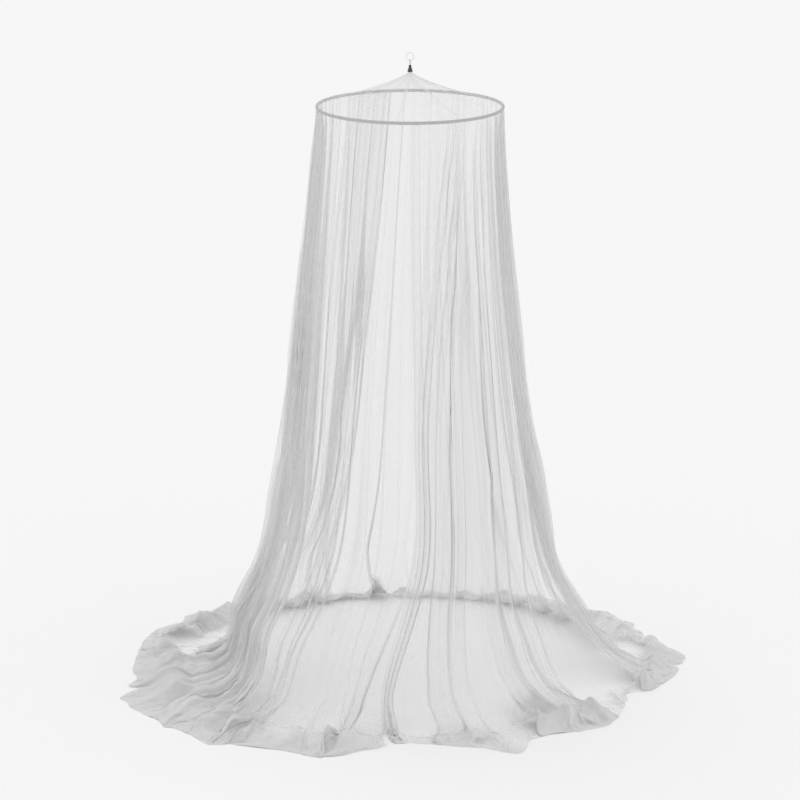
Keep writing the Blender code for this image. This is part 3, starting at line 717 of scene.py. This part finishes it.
class NetWall:
    """The wall and its foot as a grid of points: a row for each height, a column for each thread."""

    def __init__(self):
        self.count = (len(GATHERS) - 1) * COLUMNS_PER_GATHER + 1
        self.at = np.linspace(0.0, len(GATHERS) - 1.0, self.count)  # in gathers along the wall
        edges = np.arange(len(GATHERS))[:, None] + GATHER_SHARE / 2 * np.array((-1.0, 1.0))
        self.edges = edges.ravel()
        self.nearest = np.round(self.at).astype(int)
        away = np.abs(self.at - self.nearest) / (GATHER_SHARE / 2)
        self.in_gather = np.where(away < 1.0, np.cos(np.clip(away, 0, 1) * math.pi / 2) ** 0.7, 0.0)
        self.drops = self.row_drops()
        hanging = HOOP_HEIGHT - LAST_HANGING
        self.lying = np.clip((self.drops - hanging) / (HEM_DROP - hanging), 0.0, 1.0)
        self.base = self.base_points()
        self.more_net, self.rise = self.heaped_places()
        self.swing = self.swings()
        self.turn = self.swing * np.sin(self.phase())
        self.crumple_swing, self.crumple_turn = self.crumpled()

    @staticmethod
    def row_drops():
        drops = [HOOP_HEIGHT - SECTIONS[0].height]
        for until, step in ROW_STEPS:
            while drops[-1] < until - 1e-9:
                drops.append(min(drops[-1] + step, until))
        return np.array(drops)

    def bearings(self, drop):
        """The bearing of each column at a drop below the hoop."""
        at = np.array([min(drop, GATHER_DROPS[-1])])
        middles = down_gathers(("hoop", "waist", "knee", "foot"), at)[0]
        half = column(GATHERS, "wide") / 2 * spline(GATHER_DROPS, GATHER_SPREAD, at)
        rims = np.stack((middles - half, middles + half), axis=1).ravel()
        return np.interp(self.at, self.edges, np.maximum.accumulate(rims))

    def hanging_row(self, height):
        drop = HOOP_HEIGHT - height
        bearings = self.bearings(drop)
        places = fold_places(bearings, drop / HOOP_HEIGHT)
        knots = HOOP_HEIGHT - column(SECTIONS, "height")
        at = np.array([drop])
        radius, share, lean = (
            spline(knots, column(SECTIONS, name), at)
            for name in ("crest_radius", "pleat_share", "lean")
        )
        skirt = max(0.0, 1.0 - height / SKIRT_HEIGHT) ** SKIRT_CURVE
        radius = radius + (along_folds("touch", places) - SECTIONS[-1].crest_radius) * skirt
        radius -= (along_folds("depth", places) * hollow(places) + tuck_at(places)) * share
        return self.ring_points(bearings, radius, np.maximum(height, lift_at(places)), lean)

    def lying_row(self, share):
        touch = self.hanging_row(0.0)
        touch = np.hypot(touch[:, 0], touch[:, 1])
        bearings = self.bearings(HOOP_HEIGHT)
        places = fold_places(bearings, 1.0)
        radius = touch + (along_folds("reach", places) - touch) * share
        hill = spline(column(HEAP_RINGS, "share"), column(HEAP_RINGS, "hill"), np.array([share]))
        level = along_folds("heap", places) * hill * (1.0 - HEAP_HOLLOW * hollow(places))
        level = level + lift_at(places) * (1.0 - share) + HEAP_BASE
        turned = bearings + along_folds("splay", places) * share
        for edge in EDGES:
            away = turned_by(turned, edge.bearing)
            radius += edge.out * np.exp(-((away / edge.wide) ** 2)) * share * share
        return self.ring_points(turned, radius, level, 0.0)

    @staticmethod
    def ring_points(bearings, radius, level, lean):
        turn = np.radians(bearings)
        level = np.broadcast_to(level, turn.shape)
        return np.stack((radius * np.sin(turn) - lean, -radius * np.cos(turn), level), axis=1)

    def base_points(self):
        """The wall and the foot on their main folds, without the gathers, curving out onto the floor."""
        heights = np.linspace(SECTIONS[0].height, LAST_HANGING, HANGING_STATIONS)
        shares = np.linspace(FIRST_LYING, 1.0, LYING_STATIONS)
        stations = [self.hanging_row(height) for height in heights]
        stations += [self.lying_row(share) for share in shares]
        lying = FOOT_DROP + (HEM_DROP - FOOT_DROP) * (shares - FIRST_LYING) / (1.0 - FIRST_LYING)
        return spline(np.concatenate((HOOP_HEIGHT - heights, lying)), np.array(stations), self.drops)

    def heaped_places(self):
        """For each point: how much net there is and how much higher it stands, from PLACES."""
        starts = np.clip(self.lying * PLACES_START, 0.0, 1.0)[:, None]
        ends = np.clip((1.0 - self.lying) * PLACES_END, 0.0, 1.0)[:, None]
        x, y = self.base[..., 0], self.base[..., 1]
        bearing, radius = np.degrees(np.arctan2(x, -y)), np.hypot(x, y)
        layers, rise = np.ones(x.shape), np.zeros(x.shape)
        for place in PLACES:
            turned = turned_by(bearing, place.bearing)
            near = (turned / place.wide) ** 2 + ((radius - place.radius) / place.deep) ** 2
            near = np.exp(-(near**2)) * starts
            layers *= place.layers**near
            rise += place.rise * near
        return layers, rise * ends

    def swings(self):
        """How far the cloth swings from side to side, for each row and column."""
        pulls = down_gathers(("crown", "middle", "middle", "hem"), self.drops)[:, self.nearest]
        between = down_gathers(("after", "after", "after", "low"), self.drops)[:, self.stretch()]
        rim = np.clip((self.lying - RIM_FROM) / (RIM_TO - RIM_FROM), 0.0, 1.0)[:, None]
        pulls = pulls + (RIM_SWING - pulls) * rim
        between = between + (RIM_SWING_BETWEEN - between) * rim
        gathered = pulls * self.in_gather[None, :] * (1.0 + self.uneven(GATHERS_SWING))
        between = between * (1.0 + self.uneven(STRETCHES_SWING))
        return np.clip(np.maximum(gathered, between), LEAST_SWING, MOST_SWING)

    def uneven(self, *kinds):
        """Smooth random numbers for each row and column, from one or more kinds of Uneven."""
        return sum(
            kind.size * wander(kind.seed, self.drops, self.at, kind.down, kind.along) for kind in kinds
        )

    def stretch(self):
        """The gather that each column's stretch comes after."""
        return np.minimum(self.at.astype(int), len(GATHERS) - 2)

    def phase(self):
        """Where each column stands in its waves."""
        steps = np.tile((WAVES_IN_GATHER, WAVES_IN_STRETCH), len(GATHERS))[: len(self.edges) - 1]
        waves = np.concatenate(((0.0,), np.cumsum(steps)))
        turns = np.interp(self.at, self.edges, waves)[None, :]
        turns = turns + self.uneven(WAVES_SHIFT)
        return math.tau * (turns + self.lying[:, None] * self.uneven(LYING_WAVES_SHIFT))

    def points(self):
        base = self.base.copy()
        base[..., 2] += self.rise
        across = np.gradient(base, axis=1)
        advance = np.linalg.norm(across, axis=2)
        across /= advance[..., None]
        down = np.gradient(base, axis=0)
        run = np.linalg.norm(down, axis=2)
        down /= run[..., None]
        out = np.cross(down, across)
        out /= np.maximum(np.linalg.norm(out, axis=2), 1e-9)[..., None]

        length = advance / forward_share(self.swing)
        sideways = np.cumsum(np.cos(self.turn) * length - advance, axis=1)
        outward = np.cumsum(np.sin(self.turn) * length, axis=1) * FLATTEN
        lies = np.clip(self.lying / FLATTENED_BY, 0.0, 1.0)[:, None]
        outward *= 1.0 - (1.0 - LYING_FLATTEN) * lies
        sideways -= smooth_rows(sideways, COLUMNS_PER_GATHER // 2)
        outward -= smooth_rows(outward, COLUMNS_PER_GATHER // 2)
        drift = math.radians(DRIFT) * self.lying[:, None] * np.hypot(base[..., 0], base[..., 1])
        sideways += drift * self.uneven(*DRIFTS)
        tight = RIM_TIGHT + (1.0 - RIM_TIGHT) * self.drops / RIM_TIGHT_DROP
        tight = np.clip(tight, 0.0, 1.0)[:, None, None]
        points = base + across * sideways[..., None] * tight + out * outward[..., None] * tight
        points += self.crumples(down, run)
        crinkle = CRINKLE * self.uneven(*CRINKLES) * np.clip(self.lying / CRINKLED_BY, 0.0, 1.0)[:, None]
        points += out * crinkle[..., None]
        sinks = np.clip((self.lying - SINKS_FROM) / (1.0 - SINKS_FROM), 0.0, 1.0)[:, None]
        points[..., 2] = np.maximum(points[..., 2] * (1.0 - HEM_SINKS * sinks), LOWEST) + from_floor(0.0)
        return points

    def crumpled(self):
        """How far the foot's own waves swing up and down, and where in it each point stands."""
        phase = (self.drops[:, None] - FOOT_DROP) / CRUMPLE_LENGTH + self.uneven(*CRUMPLES_SHIFT)
        grown = self.lying[:, None] ** CRUMPLE_GROWTH
        swing = CRUMPLE_SWING * grown * (1.0 + self.uneven(CRUMPLES_SIZE))
        return swing, swing * np.sin(math.tau * phase)

    def crumples(self, down, run):
        """The way the foot's own waves move each point, from the flare out to the hem."""
        lying = self.lying[:, None]
        turn = self.crumple_turn
        length = run / forward_share(np.abs(self.crumple_swing))
        along = np.cumsum((np.cos(turn) * length - run) * (lying > 0), axis=0)
        rise = np.cumsum(np.sin(turn) * length * (lying > 0), axis=0)
        rise = (rise - rise[-1:] * lying) * CRUMPLE_HEIGHT
        along = along - along[-1:] * lying
        return down * along[..., None] + np.array((0.0, 0.0, 1.0)) * rise[..., None]

    def bunched(self):
        """How many layers of net each spot stands for: more where it turns edge-on and at the hems."""
        edge_on = 1.0 / np.maximum(LEAST_FACING, np.abs(np.cos(self.turn)))
        edge_on = edge_on / np.maximum(LEAST_FACING_CRUMPLED, np.abs(np.cos(self.crumple_turn)))
        thick = down_gathers(("upper", "thick", "thick", "dense"), self.drops)[:, self.stretch()]
        thick = smooth_rows(thick, STRETCH_BLUR)
        thick = thick * (1.0 + (column(GATHERS, "bunch")[self.nearest] - 1.0) * self.in_gather)
        lying = self.lying[:, None]
        uneven = 1.0 + self.uneven(*HANGING_LAYERS) + lying * self.uneven(LYING_LAYERS)
        doubled = np.clip((lying - DOUBLED_FROM) / (DOUBLED_BY - DOUBLED_FROM), 0.0, 1.0)
        hem = np.clip((lying - HEM_FROM) / (HEM_BY - HEM_FROM), 0.0, 1.0)
        from_side = np.minimum(self.at, self.at[-1] - self.at) * COLUMNS_PER_GATHER
        sides = np.clip(SIDE_HEM - from_side / 2.0, 0.0, 1.0)[None, :]
        foot = (1.0 + doubled) * self.more_net
        return edge_on**EDGE_ON_SHARE * thick * uneven * foot + hem + SIDE_LAYERS * sides


def make_net_wall():
    wall = NetWall()
    points = wall.points()
    bunched = wall.bunched()
    rows, columns = points.shape[:2]
    bm = bmesh.new()
    bm.loops.layers.uv.new("cut")
    layer = bm.verts.layers.float.new("bunched")
    heaped = bm.verts.layers.float.new("heaped")
    bmesh.ops.create_grid(
        bm, x_segments=columns - 1, y_segments=rows - 1, size=0.5, calc_uvs=True
    )
    for vert in bm.verts:
        across = round((vert.co.x + 0.5) * (columns - 1))
        down = round((0.5 - vert.co.y) * (rows - 1))
        vert.co = points[down, across]
        vert[layer] = bunched[down, across]
        vert[heaped] = wall.lying[down]
    net = net_finish("sheer_net", WALL_CUT, WALL_STREAK)
    piece = make_piece("net_wall_cloth", bm, net, ["net_wall"])
    return piece


# ======== net top ========
def crease_at(bearings):
    """For each bearing: how near a crease it is (1 on it), how far the net sags between two."""
    turns = sorted((crease.bearing % 360.0, crease.drawn) for crease in TOP_CREASES)
    middles = np.array([turn for turn, _ in turns])
    drawn = np.array([pull for _, pull in turns])
    gaps = turned_by(bearings[:, None], middles[None, :])
    nearest = np.argmin(np.abs(gaps), axis=1)
    away = gaps[np.arange(len(bearings)), nearest]
    before = np.where(away >= 0, nearest, nearest - 1) % len(turns)
    span = (middles[(before + 1) % len(turns)] - middles[before]) % 360.0
    share = ((bearings - middles[before]) % 360.0) / span
    return away, drawn[nearest], np.sin(math.pi * share) ** 0.8


def make_net_top():
    run = [0.0]
    for (r0, z0), (r1, z1) in zip(TOP_PROFILE, TOP_PROFILE[1:]):
        run.append(run[-1] + math.hypot(r1 - r0, z1 - z0))
    at = np.linspace(0.0, run[-1], TOP_ROWS)
    profile = spline(run, TOP_PROFILE, at)
    bearings = np.linspace(0.0, 360.0, TOP_COLUMNS, endpoint=False)
    away, drawn, sag = crease_at(bearings)
    bm = bmesh.new()
    bm.loops.layers.uv.new("cut")
    spin_profile(bm, [(radius, from_floor(height)) for radius, height in profile], TOP_COLUMNS)
    layer = bm.verts.layers.float.new("bunched")
    uv = bm.loops.layers.uv.active
    rim = TOP_PROFILE[0][0]
    for vert in bm.verts:
        radius = math.hypot(vert.co.x, vert.co.y)
        bearing = math.degrees(math.atan2(vert.co.x, -vert.co.y)) % 360.0
        index = round(bearing / 360.0 * TOP_COLUMNS) % TOP_COLUMNS
        swag = math.sin(math.pi * min(1.0, radius / rim))
        width = math.radians(abs(away[index])) * radius
        ridge = math.exp(-((width / TOP_CREASE_WIDTH) ** 2)) * drawn[index]
        vert.co.z += TOP_CREASE_HEIGHT * ridge * min(1.0, swag * 2.0) - TOP_SAG * swag * sag[index]
        near_tip = 1.0 / (1.0 + (radius / TIP_RADIUS) ** 2)
        vert[layer] = TOP_LAYERS + CREASE_LAYERS * ridge + TIP_LAYERS * near_tip
    reach = 2.0 * rim
    for face in bm.faces:
        for loop in face.loops:
            loop[uv].uv = (loop.vert.co.x / reach + 0.5, loop.vert.co.y / reach + 0.5)
    bm.normal_update()
    if sum(face.normal.z for face in bm.faces) < 0:
        bmesh.ops.reverse_faces(bm, faces=bm.faces)
    net = net_finish("sheer_top", TOP_CUT, TOP_STREAK)
    piece = make_piece("net_top_cloth", bm, net, ["net_top"])
    return piece


# ======== hoop sleeve, cap, loop and ring ========
def make_hoop_sleeve():
    """The tape sleeve round the hoop, drawn into small puckers by the net that is sewn to it."""
    bm = bmesh.new()
    middle = from_floor(HOOP_HEIGHT)
    ring = [(HOOP_RADIUS + x, middle + z) for x, z in circle_points(SLEEVE_RADIUS, 14)]
    spin_profile(bm, ring, 480, closed=True)
    for vert in bm.verts:
        turn = math.atan2(vert.co.x, -vert.co.y)
        radius = math.hypot(vert.co.x, vert.co.y)
        pucker = math.sin(SLEEVE_PUCKERS * turn + 1.2 * math.sin(17 * turn))
        pucker *= 0.6 + 0.4 * math.sin(7 * turn)
        under = 0.5 - 0.5 * (vert.co.z - middle) / SLEEVE_RADIUS
        grow = 1.0 + SLEEVE_PUCKER_DEPTH * pucker * under
        outward = (radius - HOOP_RADIUS) * grow
        vert.co.z = middle + (vert.co.z - middle) * grow
        vert.co.x *= (HOOP_RADIUS + outward) / radius
        vert.co.y *= (HOOP_RADIUS + outward) / radius
    # the tape's grey is painted shade on white tape
    tape = woven_finish("shaded_sleeve_tape", SHADED_TAPE_COLOR, 0.002)
    return make_piece("hoop_sleeve", bm, tape, ["hoop_casing"])


def make_tip_cap():
    bm = bmesh.new()
    foot, top = from_floor(CAP_FOOT), from_floor(CAP_TOP)
    profile = (
        (0.0, foot + 0.0042),
        (0.0060, foot + 0.0040),
        (0.0074, foot),
        (0.0084, foot),
        (0.0086, foot + 0.0020),
        (0.0064, foot + 0.0085),
        (0.0045, foot + 0.0145),
        (0.0040, top - CAP_LIP),
        (0.0034, top),
        (0.0, top),
    )
    spin_profile(bm, profile, 40)
    round_rims(bm, 0.5, 0.0003)
    plastic = moulded_finish("cap_plastic", CAP_COLOR, 0.55)
    return make_piece("tip_cap", bm, plastic, ["apex_cap"])


def ring_middle():
    return from_floor(HOOK_HEIGHT - RING_RADIUS + RING_WIRE)


def make_tip_loop():
    crown = ring_middle() - RING_RADIUS
    foot = from_floor(CAP_TOP + LOOP_GAP)
    turns = [math.pi * step / 16 for step in range(17)]
    outline = []
    for radius, ordered in ((LOOP_INNER + LOOP_THICKNESS, turns), (LOOP_INNER, turns[::-1])):
        arch = [(radius * math.cos(t), crown + radius * math.sin(t)) for t in ordered]
        outline += [(arch[0][0], foot)] + arch + [(arch[-1][0], foot)]
    bm = bmesh.new()
    face = bm.faces.new([bm.verts.new((-LOOP_WIDTH / 2, y, z)) for y, z in outline])
    pushed = bmesh.ops.extrude_face_region(bm, geom=[face])
    moved = [part for part in pushed["geom"] if isinstance(part, bmesh.types.BMVert)]
    bmesh.ops.translate(bm, vec=(LOOP_WIDTH, 0.0, 0.0), verts=moved)
    bmesh.ops.recalc_face_normals(bm, faces=bm.faces)
    round_rims(bm, 1.2, 0.0002)
    tape = woven_finish("loop_tape", LOOP_COLOR, 0.0012)
    return make_piece("tip_loop", bm, tape, ["hanging_loop"])


def make_ceiling_ring():
    bm = bmesh.new()
    ring = [(RING_RADIUS + x, z) for x, z in circle_points(RING_WIRE, 16)]
    spin_profile(bm, ring, 64, closed=True)
    turn = Matrix.Rotation(math.pi / 2, 4, "X")
    bmesh.ops.transform(bm, matrix=Matrix.Translation((0, 0, ring_middle())) @ turn, verts=bm.verts)
    plastic = moulded_finish("ring_plastic", RING_COLOR, 0.3)
    return make_piece("ceiling_ring", bm, plastic, ["hanging_ring"])


# ======== floor, light and camera ========
def make_stage():
    bm = bmesh.new()
    bmesh.ops.create_grid(bm, x_segments=1, y_segments=1, size=FLOOR_SIZE)
    middle = (0.0, FLOOR_AWAY, from_floor(0.0) - FLOOR_GAP)
    bmesh.ops.translate(bm, vec=middle, verts=bm.verts)
    pale = Finish("pale_floor", FLOOR_COLOR, 0.9, Specular_IOR_Level=0.0)
    floor = make_thing("floor", bm, pale.material)


def light_stage():
    world = bpy.data.worlds.new("studio")
    world.use_nodes = True
    background = world.node_tree.nodes["Background"]
    background.inputs["Color"].default_value = (1.0, 1.0, 1.0, 1.0)
    background.inputs["Strength"].default_value = WORLD_LIGHT
    scene = bpy.context.scene
    scene.world = world
    scene.view_settings.view_transform = "Standard"
    scene.cycles.transparent_max_bounces = SEEN_LAYERS
    sun = bpy.data.lights.new("soft_key", "SUN")
    sun.energy = KEY_LIGHT
    sun.angle = math.radians(KEY_SOFTNESS)
    key = bpy.data.objects.new("soft_key", sun)
    key.rotation_euler = (math.radians(KEY_TILT), math.radians(KEY_ROLL), 0.0)
    scene.collection.objects.link(key)


def make_camera():
    camera = bpy.data.cameras.new("camera")
    camera.sensor_width = CAMERA_SENSOR
    camera.lens = CAMERA_LENS
    camera.clip_end = CAMERA_SEES
    thing = bpy.data.objects.new("camera", camera)
    thing.location = CAMERA_PLACE
    thing.rotation_euler = (math.radians(90.0 - CAMERA_PITCH), 0.0, 0.0)
    bpy.context.scene.collection.objects.link(thing)
    bpy.context.scene.camera = thing


make_camera()
light_stage()
make_stage()
make_hoop_sleeve()
make_net_wall()
make_net_top()
make_tip_cap()
make_tip_loop()
make_ceiling_ring()
hoop_plastic = moulded_finish("hoop_plastic", HOOP_COLOR, 0.5)
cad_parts["hoop"].material_slots[0].material = hoop_plastic
